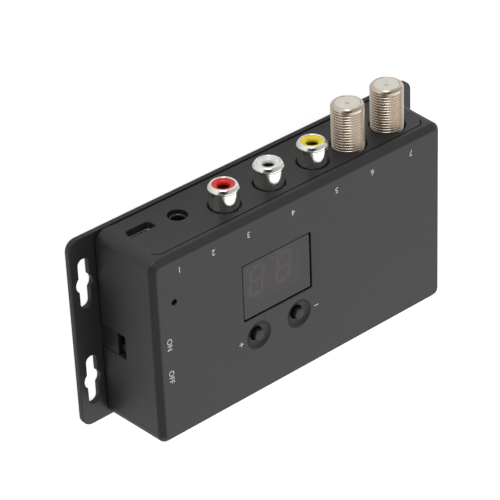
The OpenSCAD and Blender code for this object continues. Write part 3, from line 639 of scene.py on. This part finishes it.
# %% [markdown]
# Each key is a thin stem that stands in the middle of its dish, its flat end just above the lid,
# with a small rounding that catches the light. It is a turned piece that rides on its own body,
# so that it sinks when the key is pressed.

# %% Keys
for node, body in (("channel_down_key", "down_key"), ("channel_up_key", "up_key")):
    spot, low, high = middle(node)
    profile = [(0, high.z), (1.34, high.z), (1.44, high.z - 0.02), (1.53, high.z - 0.08),
               (1.58, high.z - 0.17), (1.6, high.z - 0.3), (1.6, low.z), (0, low.z)]
    stem = raw(node.replace("channel_", "") + "_cap", turned(profile, 56),
               Matrix.Translation((spot.x * MM, spot.y * MM, 0)))
    piece(stem, key_plastic, body, node)

# %% [markdown]
# Bright metal. The round sockets' shells are drawn brass with bright nickel, so their finish is
# smooth with faint lengthwise scratches. The aerial sockets are turned and have a warmer, duller
# nickel. Tin, gold and zinc plate serve the small parts and the screws. One noise gives the
# scratches in relief and gloss, and a coarser one lets the colour vary.

# %% Metals
def plated(name, colour, roughness, scratches=2500, depth=0.001, tint=0.9, stretch=(1, 0.05, 1)):
    """A plated metal; a stretch below 1 draws the scratches out along that axis."""
    material, shader = new_finish(name, colour, roughness, 1.0)
    fine, place = noise(material, scratches, 4, stretch)
    cloud = add(material, "TexNoise", Vector=place, Scale=180, Detail=3).outputs["Fac"]
    dull = tuple(c * tint for c in colour)
    link(material, between(material, cloud, dull, colour), shader, "Base Color")
    link(material, between(material, fine, roughness * 0.7, roughness * 1.4), shader, "Roughness")
    rough_up(material, shader, fine, depth, 0.6)
    return material


bright_nickel = plated("bright nickel", (0.94, 0.92, 0.88), 0.14, 1600, 0.002)
warm_nickel = plated("warm turned nickel", (0.68, 0.59, 0.49), 0.19, 900, 0.001, 0.9, (1, 1, 1))
tin_plate = plated("tin plate", (0.62, 0.62, 0.60), 0.3, 700, 0.002, 0.85, (1, 1, 1))
gold_plate = plated("thin gold plate", (0.72, 0.52, 0.24), 0.25, 1500, 0.001, 0.85)
zinc_plate = plated("zinc plated steel", (0.55, 0.56, 0.57), 0.32, 1500, 0.002, 0.8, (1, 1, 1))
print("metals", 5)

# %% [markdown]
# The inserts are coloured by what their socket carries: red and white for sound, yellow for the
# picture. They are moulded in a smooth, slightly glossy plastic, so one soft noise is enough to
# vary its tone, its gloss and its surface.

# %% Coloured inserts' plastic
def insert_plastic(name, colour):
    """A smooth moulded plastic in a plain colour."""
    material, shader = new_finish(name, colour, 0.3, Specular_IOR_Level=0.35)
    cloud, _ = noise(material, 500, 3)
    shade = tuple(c * 0.88 for c in colour)
    link(material, between(material, cloud, shade, colour), shader, "Base Color")
    link(material, between(material, cloud, 0.22, 0.36), shader, "Roughness")
    rough_up(material, shader, cloud, 0.006, 0.5)
    return material


INSERT_PLASTICS = {"right": insert_plastic("red insert plastic", (0.76, 0.030, 0.018)),
                   "left": insert_plastic("white insert plastic", (0.88, 0.88, 0.87)),
                   "video": insert_plastic("yellow insert plastic", (0.93, 0.75, 0.035))}
print("insert plastics", len(INSERT_PLASTICS))

# %% [markdown]
# A round socket is a deep-drawn shell whose mouth is rolled over into a bright lip, round a
# coloured insert that funnels down to the middle contact. Both are turned about the same axis,
# which points out of the socket side.

# %% Round sockets
def outwards(x, y, z):
    """A frame whose +Z points out of the socket side."""
    rows = [(1, 0, 0, x * MM), (0, 0, -1, y * MM), (0, 1, 0, z * MM), (0, 0, 0, 1)]
    return Matrix(rows)


for side, plastic in INSERT_PLASTICS.items():
    spot, low, high = middle(f"phono_{side}_shell")
    long = high.y - low.y
    lip = [(4.1, long - 1.5), (4.19, long - 1.4), (4.24, long - 1.2), (4.22, long - 1.02),
           (4.12, long - 0.78), (3.72, long - 0.22), (3.57, long - 0.07), (3.36, long),
           (3.16, long - 0.02), (3.06, long - 0.12), (3.03, long - 0.3), (3.03, long - 0.5)]
    shell = [(3.55, 0), (4.3, 0), (4.3, long - 7.2), (4.1, long - 7.1)] + lip + [(3.55, long - 0.5)]
    place = outwards(spot.x, high.y, spot.z)
    made = raw(f"{side}_socket_shell", turned(shell, 72, ring=True), place)
    piece(made, bright_nickel, "housing", f"phono_{side}_shell", sharp=40)
    face = long - 0.14
    insert = [(2.05, 0), (3.5, 0), (3.5, face - 0.5), (3.0, face - 0.5), (3.0, face - 0.08),
              (2.93, face - 0.01), (2.8, face), (2.6, face - 0.03), (2.3, face - 0.14),
              (1.9, face - 0.36), (1.74, face - 0.5), (1.67, face - 0.66), (1.65, face - 1.2),
              (2.05, face - 1.2)]
    made = raw(f"{side}_socket_insert", turned(insert, 72, ring=True), place)
    piece(made, plastic, "housing", f"phono_{side}_insert", sharp=40)

# %% [markdown]
# The aerial sockets carry a real helical thread of 0.79 mm pitch. The barrel is turned with
# enough rows along it, and each point is then moved in by where it stands in the helix. The
# thread fades out over one turn at each end, and the end has a lead-in chamfer.

# %% Aerial sockets
PITCH, CREST, THREAD_DEPTH = 0.794, 4.62, 0.5


def threaded(long, low, high, rows_per_turn=12):
    """The barrel with its thread between two heights."""
    rows = int((high - low) / PITCH * rows_per_turn)
    side = [(CREST, low + (high - low) * i / rows) for i in range(rows + 1)]
    profile = [(3.6, 0), (4.95, 0), (4.95, 1.1), (4.85, 1.2), (CREST, 1.22)] + side
    profile += [(CREST, long - 0.95), (4.58, long - 0.75), (4.52, long - 0.62), (4.12, long - 0.14),
                (4.02, long - 0.04), (3.88, long), (3.58, long - 0.01), (3.5, long - 0.05),
                (3.45, long - 0.2), (3.45, long - 0.5)]
    bm = turned(profile, 80, ring=True)
    for v in bm.verts:
        height, radius = v.co.z / MM, v.co.xy.length / MM
        if radius > CREST - 0.01 and low < height < high:
            turn = height / PITCH - math.atan2(v.co.y, v.co.x) / math.tau
            fade = min(1, (height - low) / PITCH, (high - height) / PITCH)
            depth = THREAD_DEPTH * fade * (0.5 + 0.5 * math.cos(math.tau * turn)) ** 1.5
            v.co.xy *= 1 - depth / radius
    return bm


cream, shader = new_finish("cream insulator", (0.70, 0.66, 0.58), 0.38, Specular_IOR_Level=0.45)
grained(cream, shader, 900, 0.008, (0.70, 0.66, 0.58), (0.77, 0.73, 0.65), 0.6)

for side in ("out", "in"):
    spot, low, high = middle(f"aerial_{side}_barrel")
    long = high.y - low.y
    made = raw(f"aerial_{side}_thread", threaded(long, 1.3, long - 1.0),
               outwards(spot.x, high.y, spot.z))
    piece(made, warm_nickel, "housing", f"aerial_{side}_barrel", sharp=75)
    disc_high = middle(f"aerial_{side}_disc")[2]
    thick = disc_high.y - low.y - 0.06
    disc = [(1.0, 0), (3.44, 0), (3.44, thick - 0.1), (3.38, thick - 0.02), (3.2, thick),
            (2.4, thick - 0.02), (1.3, thick - 0.04), (0.95, thick - 0.08), (0.6, thick - 0.2),
            (0.42, thick - 0.4), (0.36, thick - 0.7), (0.36, thick - 1.5), (1.0, thick - 1.5)]
    made = raw(f"aerial_{side}_insulator", turned(disc, 64, ring=True),
               outwards(spot.x, disc_high.y, spot.z))
    piece(made, cream, "housing", f"aerial_{side}_disc")

# %% [markdown]
# The power socket is a box of bent and tin-plated sheet. Its outline with round corners is walked
# out to the mouth, over a small rounded rim of the sheet's thickness, and then back inside
# itself, which leaves a closed end.

# %% Power socket
SHEET = 0.3
spot, low, high = middle("usb_shell")
long = high.y - low.y
bm = bmesh.new()
face = power_face(bm, 0)
walk(bm, face, (0, long - 0.05), (0.05, 0.05), (SHEET - 0.09, 0), (0.04, -0.04), (0, 0.4 - long))
back = frame_at(Vector((spot.x, high.y, power_low)) * MM, Vector((-1, 0, 0)), Vector((0, -1, 0)))
piece(raw("power_socket_shell", close_up(bm), back), tin_plate, "housing", "usb_shell")

# %% [markdown]
# The power socket's tongue is a black moulding with five gold contacts on its lower face. It is
# a block, and the contacts are thin strips in one mesh.

# %% Power socket's tongue
CONTACTS, CONTACT_PITCH, CONTACT_W, CONTACT_THICK = 5, 0.65, 0.35, 0.04
spot, low, high = middle("usb_tongue")
piece(block("power_socket_tongue", low, high, 0.1), gloss_black, "housing", "usb_tongue")
bm = bmesh.new()
for number in range(CONTACTS):
    x = spot.x + (number - 2) * CONTACT_PITCH
    made = bmesh.ops.create_grid(bm, x_segments=1, y_segments=4, size=0.5)["verts"]
    bmesh.ops.scale(bm, vec=(CONTACT_W * MM, (high.y - low.y - 0.6) * MM, 1), verts=made)
    bmesh.ops.translate(bm, vec=(x * MM, spot.y * MM, (low.z - 0.03) * MM), verts=made)
bmesh.ops.solidify(bm, geom=bm.faces[:], thickness=CONTACT_THICK * MM)
bmesh.ops.recalc_face_normals(bm, faces=bm.faces[:])
piece(raw("power_contacts", bm), gold_plate, "housing")

# %% [markdown]
# The eye-lead socket is a black moulding: a block on the board, with a round nose that stands in
# its hole in the wall. The nose is turned and joined on, and a bore with a flared mouth is cut.

# %% Eye-lead socket
EYE_BODY, NOSE_SUNK, NOSE_R = 12, 0.42, 2.5
spot, low, high = middle("eye_jack")
body_y = high.y - EYE_BODY
eye = block("eye_lead_socket", Vector((low.x, body_y, low.z)), high, 0.2)
reach = body_y - low.y + NOSE_SUNK
nose = turned([(0, 0), (NOSE_R, 0), (NOSE_R, reach - 0.12), (NOSE_R - 0.12, reach), (0, reach)], 56)
join(eye, [raw("nose", nose, outwards(spot.x, body_y + NOSE_SUNK, eye_z))], "UNION")
bore = [(0, -1), (2.15, -1), (2.15, 0), (1.95, 0.12), (1.8, 0.35), (1.8, 11), (0, 11)]
into = frame_at(Vector((spot.x, low.y, eye_z)) * MM, Vector((1, 0, 0)), Vector((0, 1, 0)))
join(eye, [raw("bore", turned(bore, 48), into)], "DIFFERENCE")
piece(eye, gloss_black, "housing", "eye_jack")

# %% [markdown]
# The slide switch has a black body with a slot, and a small knob whose end is ribbed so that a
# fingertip can move it. The body's slot and the well behind it are cut as long as the knob's
# travel needs. The knob is a slider with a stem joined on, and it rides on its own body.

# %% Slide switch
SWITCH_LOW, SWITCH_HIGH = 8.85, 10.45
STEM_W, STEM_H, STEM_SUNK, RIB_CUTS, RIB_DEPTH = 2.0, 1.5, 0.9, 6, 0.25
low, high = middle("slide_switch_body")[1:]
knob_spot, knob_low, knob_high = middle("slide_switch_knob")
switch = block("slide_switch_case", low, high, 0.12)
slot_low = Vector((high.x - 0.65, knob_spot.y - 3.05, SWITCH_LOW))
slot_high = Vector((high.x + 1, knob_spot.y + 1.05, SWITCH_HIGH))
well_low = Vector((high.x - 2.7, knob_spot.y - 4.15, knob_low.z - 0.05))
well_high = Vector((high.x - 0.6, knob_spot.y + 2.15, knob_high.z + 0.05))
join(switch, [block("slot", slot_low, slot_high, 0.05), block("well", well_low, well_high, 0.05)],
     "DIFFERENCE")
piece(switch, gloss_black, "housing", "slide_switch_body")

knob_foot = block("switch_slider", Vector((high.x - 2.6, knob_low.y, knob_low.z)),
                  Vector((high.x - 0.65, knob_high.y, knob_high.z)), 0.1)
bm = bmesh.new()
face = plate_face(bm, STEM_W, STEM_H, 0)
walk(bm, face, (0, knob_high.x - high.x + STEM_SUNK))
close_up(bm)
end = max(bm.faces, key=lambda f: f.calc_center_median().z)
long_edges = [e for e in end.edges if abs(e.verts[0].co.x - e.verts[1].co.x) > 1e-4]
bmesh.ops.subdivide_edges(bm, edges=long_edges, cuts=RIB_CUTS, use_grid_fill=True)
ribs = sorted((f for f in bm.faces if f.normal.z > 0.9), key=lambda f: f.calc_center_median().x)
grooves = bmesh.ops.extrude_discrete_faces(bm, faces=ribs[1::2])["faces"]
lowered = list({v for f in grooves for v in f.verts})
bmesh.ops.translate(bm, vec=(0, 0, -RIB_DEPTH * MM), verts=lowered)
bmesh.ops.recalc_face_normals(bm, faces=bm.faces[:])
soften(bm, 0.04, bend(60), 1)
stem_foot = Vector((high.x - STEM_SUNK, knob_spot.y, (SWITCH_LOW + SWITCH_HIGH) / 2)) * MM
stem_place = frame_at(stem_foot, Vector((0, 1, 0)), Vector((1, 0, 0)))
join(knob_foot, [raw("stem", bm, stem_place)], "UNION")
piece(knob_foot, key_plastic, "switch_knob", "slide_switch_knob")

# %% [markdown]
# Four pan-head screws with a cross recess hold the plate, sunk in wells on the back. One screw
# is turned, its recess cut with two tapered bars, and four copies of it make the piece, each
# turned by a different angle, as driven screws are.

# %% Plate screws
def bar_tool(turn):
    """One tapered bar of the cross recess."""
    bm = bmesh.new()
    face = plate_face(bm, 2.3, 0.55, 0)
    walk(bm, face, (0.14, 0.85))
    place = Matrix.Translation((0, 0, 0.28 * MM)) @ Matrix.Rotation(turn, 4, "Z")
    return raw("bar", close_up(bm), place)


head = [(0, 0.3), (1.0, 0.33), (1.6, 0.45), (2.0, 0.72), (2.16, 1.1), (2.2, 1.8), (1.3, 1.8),
        (1.3, 9.5), (0.9, 9.8), (0, 9.8)]
screw = raw("plate_screws", turned(head, 48))
join(screw, [bar_tool(0), bar_tool(math.pi / 2)], "DIFFERENCE")
bm = bmesh.new()
for x, y in PLATE_SCREWS:
    before = set(bm.verts)
    bm.from_mesh(screw.data)
    fresh = [v for v in bm.verts if v not in before]
    bmesh.ops.rotate(bm, cent=(0, 0, 0), matrix=Matrix.Rotation(x + y, 3, "Z"), verts=fresh)
    bmesh.ops.translate(bm, vec=(x * MM, y * MM, 0), verts=fresh)
bm.to_mesh(screw.data)
bm.free()
piece(screw, zinc_plate, "housing", "base_screws")

# %% [markdown]
# What little is printed on the lid is generic: a plain number at each socket, a minus and a plus
# at the keys, and OFF and ON beside the slide switch. A font curve is made a mesh first, and then
# gets a thin layer's thickness and its place, flush with the top of the solid lid.

# %% Print
ink, shader = new_finish("white screen ink", (0.80, 0.80, 0.80), 0.55, Specular_IOR_Level=0.4)
grained(ink, shader, 3500, 0.006, (0.66, 0.66, 0.66), (0.82, 0.82, 0.82))
INK, NUMBER_H, SIGN_H, WORD_H = 0.018, 1.8, 2.2, 1.7
LABEL_Y, SIGN_OUT, WORD_X, OFF_Y, ON_Y = -23.25, 6.2, 46.9, 7.6, -2.4


def printed(name, words, x, y, height, turn=0.0):
    """Words in ink, centred at a place on the lid; turn 0 reads along +X."""
    curve = bpy.data.curves.new(name, "FONT")
    curve.body, curve.size = words, height * MM / 0.73
    curve.align_x, curve.align_y = "CENTER", "CENTER"
    curve.resolution_u = 5
    text = bpy.data.objects.new(name, curve)
    bpy.context.scene.collection.objects.link(text)
    graph = bpy.context.evaluated_depsgraph_get()
    mesh = bpy.data.meshes.new_from_object(text.evaluated_get(graph))
    bpy.data.objects.remove(text)
    bm = bmesh.new()
    bm.from_mesh(mesh)
    bmesh.ops.remove_doubles(bm, verts=bm.verts[:], dist=1e-7)
    walls = bmesh.ops.extrude_face_region(bm, geom=bm.faces[:])["geom"]
    raised = [v for v in walls if isinstance(v, bmesh.types.BMVert)]
    bmesh.ops.translate(bm, vec=(0, 0, INK * MM), verts=raised)
    bmesh.ops.recalc_face_normals(bm, faces=bm.faces[:])
    place = Matrix.Translation((x * MM, y * MM, LID * MM)) @ Matrix.Rotation(turn, 4, "Z")
    return piece(raw(name, bm, place), ink, "housing")


for number, side in enumerate(SOCKETS):
    printed(f"number_{number + 1}", str(number + 1), SOCKETS[side].x, LABEL_Y, NUMBER_H)
down, up = KEYS["channel_down_key"], KEYS["channel_up_key"]
printed("minus_mark", "−", down.x - SIGN_OUT, down.y, SIGN_H)
printed("plus_mark", "+", up.x + SIGN_OUT, up.y, SIGN_H)
printed("off_mark", "OFF", WORD_X, OFF_Y, WORD_H, math.pi / 2)
printed("on_mark", "ON", WORD_X, ON_Y, WORD_H, math.pi / 2)

# %% [markdown]
# The solids inside keep their own shapes and get their own finishes. The board's green mask shows its
# copper tracks as a faint raised net, the chip is dull epoxy, and the capacitors have a blue sleeve with a
# bare can on top. The display's unlit digits get a weak painted glow, though they are no lamp, because
# little light comes back out through the smoked pane.

# %% Board, chip and other inner parts
def dress(material, *nodes):
    """Gives a finish to solids that keep their shapes."""
    for name in nodes:
        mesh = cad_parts[name].data
        mesh.materials.clear()
        mesh.materials.append(material)


board_mask, shader = new_finish("green solder mask", (0.02, 0.16, 0.07), 0.35, Specular_IOR_Level=0.5)
place = add(board_mask, "TexCoord").outputs["Object"]
tracks = add(board_mask, "TexBrick", {"offset": 0.37, "squash": 1.7}, Vector=place, Scale=220.0,
             Mortar_Size=0.06, Color1=(0, 0, 0, 1), Color2=(0, 0, 0, 1), Mortar=(1, 1, 1, 1)).outputs["Fac"]
greens = between(board_mask, tracks, (0.015, 0.12, 0.05), (0.04, 0.26, 0.11), 0, 1)
link(board_mask, greens, shader, "Base Color")
rough_up(board_mask, shader, tracks, 0.03)

epoxy = moulded("chip epoxy", (0.02, 0.02, 0.022), 0.6, 2600, 0.02)
sleeve, shader = new_finish("capacitor sleeve", (0.03, 0.05, 0.25), 0.35)
place = add(sleeve, "TexCoord").outputs["Object"]
height = add(sleeve, "SeparateXYZ", Vector=place).outputs["Z"]
top = between(sleeve, height, 0.0, 1.0, 0.01455, 0.0146)
link(sleeve, between(sleeve, top, (0.03, 0.05, 0.25), (0.6, 0.6, 0.6), 0.4, 0.6), shader, "Base Color")
link(sleeve, top, shader, "Metallic")
grained(sleeve, shader, 1200, 0.01)

lamp_white = insert_plastic("lamp lens", (0.75, 0.73, 0.6))
guide, shader = new_finish("clear guide", (0.10, 0.10, 0.10), 0.12, IOR=1.49, Transmission_Weight=0.6)
grained(guide, shader, 1500, 0.004)

face_epoxy, shader = new_finish("display face", (0.15, 0.14, 0.135), 0.4)
grained(face_epoxy, shader, 1500, 0.01, (0.14, 0.13, 0.125), (0.16, 0.15, 0.145))
# Painted glow: the unlit segments give off a little light of their own, though they are no lamp.
unlit, shader = new_finish("unlit segments", (0.62, 0.34, 0.26), 0.35,
                           Emission_Color=(1, 0.36, 0.26, 1), Emission_Strength=0.075)
grained(unlit, shader, 1500, 0.01, (0.58, 0.32, 0.24), (0.66, 0.36, 0.28))

FINISHES = [
    (board_mask, ["circuit_board"]),
    (epoxy, ["controller_chip"]),
    (sleeve, ["capacitors"]),
    (lamp_white, ["signal_led"]),
    (guide, ["light_guide"]),
    (face_epoxy, ["display_module"]),
    (unlit, ["display_segments"]),
    (gloss_black, ["display_header", "phono_block", "channel_down_switch", "channel_up_switch"]),
    (tin_plate, ["modulator_can", "modulator_lid", "crystal"]),
    (bright_nickel, ["phono_right_contact", "phono_left_contact", "phono_video_contact"]),
    (gold_plate, ["aerial_out_contact", "aerial_in_contact"]),
    (zinc_plate, ["board_screws"]),
]
for material, nodes in FINISHES:
    dress(material, *nodes)
print("solids with new finishes", sum(len(nodes) for material, nodes in FINISHES))

# %% [markdown]
# A plain pale studio. The floor is a large matt sheet just below the plate. It is white to the
# camera and greyer in reflections, so that the black walls stay dark where they mirror it. A glow
# that depends on the kind of ray does this; sizes are in metres.

# %% Floor
FLOOR_HALF, FLOOR_Z, WHITE_GLOW, GREY_GLOW = 3.0, -0.0002, 0.75, 0.25
bm = bmesh.new()
bmesh.ops.create_grid(bm, x_segments=1, y_segments=1, size=FLOOR_HALF)
floor = raw("floor", bm, Matrix.Translation((0, 0, FLOOR_Z)))
pale, shader = new_finish("pale floor", (0.8, 0.8, 0.8), 0.9, Specular_IOR_Level=0.0)
rays = add(pale, "LightPath").outputs


def combine(owner, operation, a, b):
    """One calculation with two values in a material's or a world's tree."""
    return add(owner, "Math", {"operation": operation}, _0=a, _1=b).outputs[0]


direct = combine(pale, "MAXIMUM", rays["Is Camera Ray"], rays["Is Transmission Ray"])
seen = combine(pale, "MULTIPLY", direct, WHITE_GLOW)
mirrored = combine(pale, "MULTIPLY", rays["Is Glossy Ray"], GREY_GLOW)
glow = add(pale, "Emission", Strength=combine(pale, "MAXIMUM", seen, mirrored))
both = add(pale, "AddShader", _0=shader.outputs[0], _1=glow.outputs[0])
pale.node_tree.links.new(both.outputs[0], pale.node_tree.nodes["Material Output"].inputs["Surface"])
floor.data.materials.append(pale)
print("floor", 2 * FLOOR_HALF, "m square")

# %% [markdown]
# The room is white behind the object. As light it is dim, and brighter towards -X. Reflections
# also show a pale band at the horizon, and a dark zone towards the camera, which keeps the black
# faces that look that way as dark as they are in the photograph.

# %% World
world = bpy.data.worlds.new("studio")
bpy.context.scene.world = world
world.use_nodes = True
world.node_tree.nodes.clear()
rays = add(world, "LightPath").outputs
towards = add(world, "TexCoord").outputs["Generated"]
way = add(world, "SeparateXYZ", Vector=towards).outputs


def spread(value, from_low, from_high, to_low, to_high):
    """Maps a number from one range to another, and holds it there."""
    made = add(world, "MapRange", Value=value)
    for number, bound in enumerate((from_low, from_high, to_low, to_high)):
        made.inputs[1 + number].default_value = bound
    return made.outputs[0]


room = spread(way["X"], -1, 1, 0.62, 0.24)
horizon = combine(world, "MULTIPLY", spread(way["Z"], 0.04, 0.3, 1, 0), rays["Is Glossy Ray"])
seen = combine(world, "MAXIMUM", rays["Is Camera Ray"], rays["Is Transmission Ray"])
to_camera = add(world, "VectorMath", {"operation": "DOT_PRODUCT"}, _0=towards,
                _1=camera.location.normalized()).outputs["Value"]
shade = combine(world, "MULTIPLY", spread(to_camera, 0.86, 0.97, 0, 1), rays["Is Glossy Ray"])
lit = combine(world, "MULTIPLY", room, spread(shade, 0, 1, 1, 0.08))
strength = combine(world, "MAXIMUM", combine(world, "MAXIMUM", lit, horizon), seen)
sky = add(world, "Background", Strength=strength, Color=(1, 1, 1, 1))
out = add(world, "OutputWorld")
world.node_tree.links.new(sky.outputs[0], out.inputs["Surface"])
print("world", len(world.node_tree.nodes), "nodes")

# %% [markdown]
# Two soft rectangular lamps. A large one stands above and behind, and the lid reflects it. A
# smaller and stronger one stands in front of the socket side and gives the sockets their shine.

# %% Lamps
def softbox(name, way, distance, length, width, radiance):
    """A large even rectangle of light; way points to it from the object, sizes in metres."""
    light = bpy.data.lights.new(name, "AREA")
    light.shape, light.size, light.size_y = "RECTANGLE", length, width
    light.energy = radiance * math.pi * length * width
    made = bpy.data.objects.new(name, light)
    back, along = Vector(way).normalized(), Vector((1, 0, 0))
    across = back.cross(along).normalized()
    along = across.cross(back)
    turn = Matrix((along, across, back)).transposed().to_4x4()
    made.matrix_world = Matrix.Translation(back * distance) @ turn
    bpy.context.scene.collection.objects.link(made)
    print(name, round(light.energy, 2), "W")
    return made


softbox("overhead softbox", (-0.2, 0.5, 0.85), 1.0, 1.8, 1.4, 0.85)
softbox("front softbox", (0.25, -1, 0.15), 1.2, 0.55, 0.9, 5.0)

# %% [markdown]
# The standard view shows colours as they are entered.

# %% Colour
bpy.context.scene.view_settings.view_transform = "Standard"
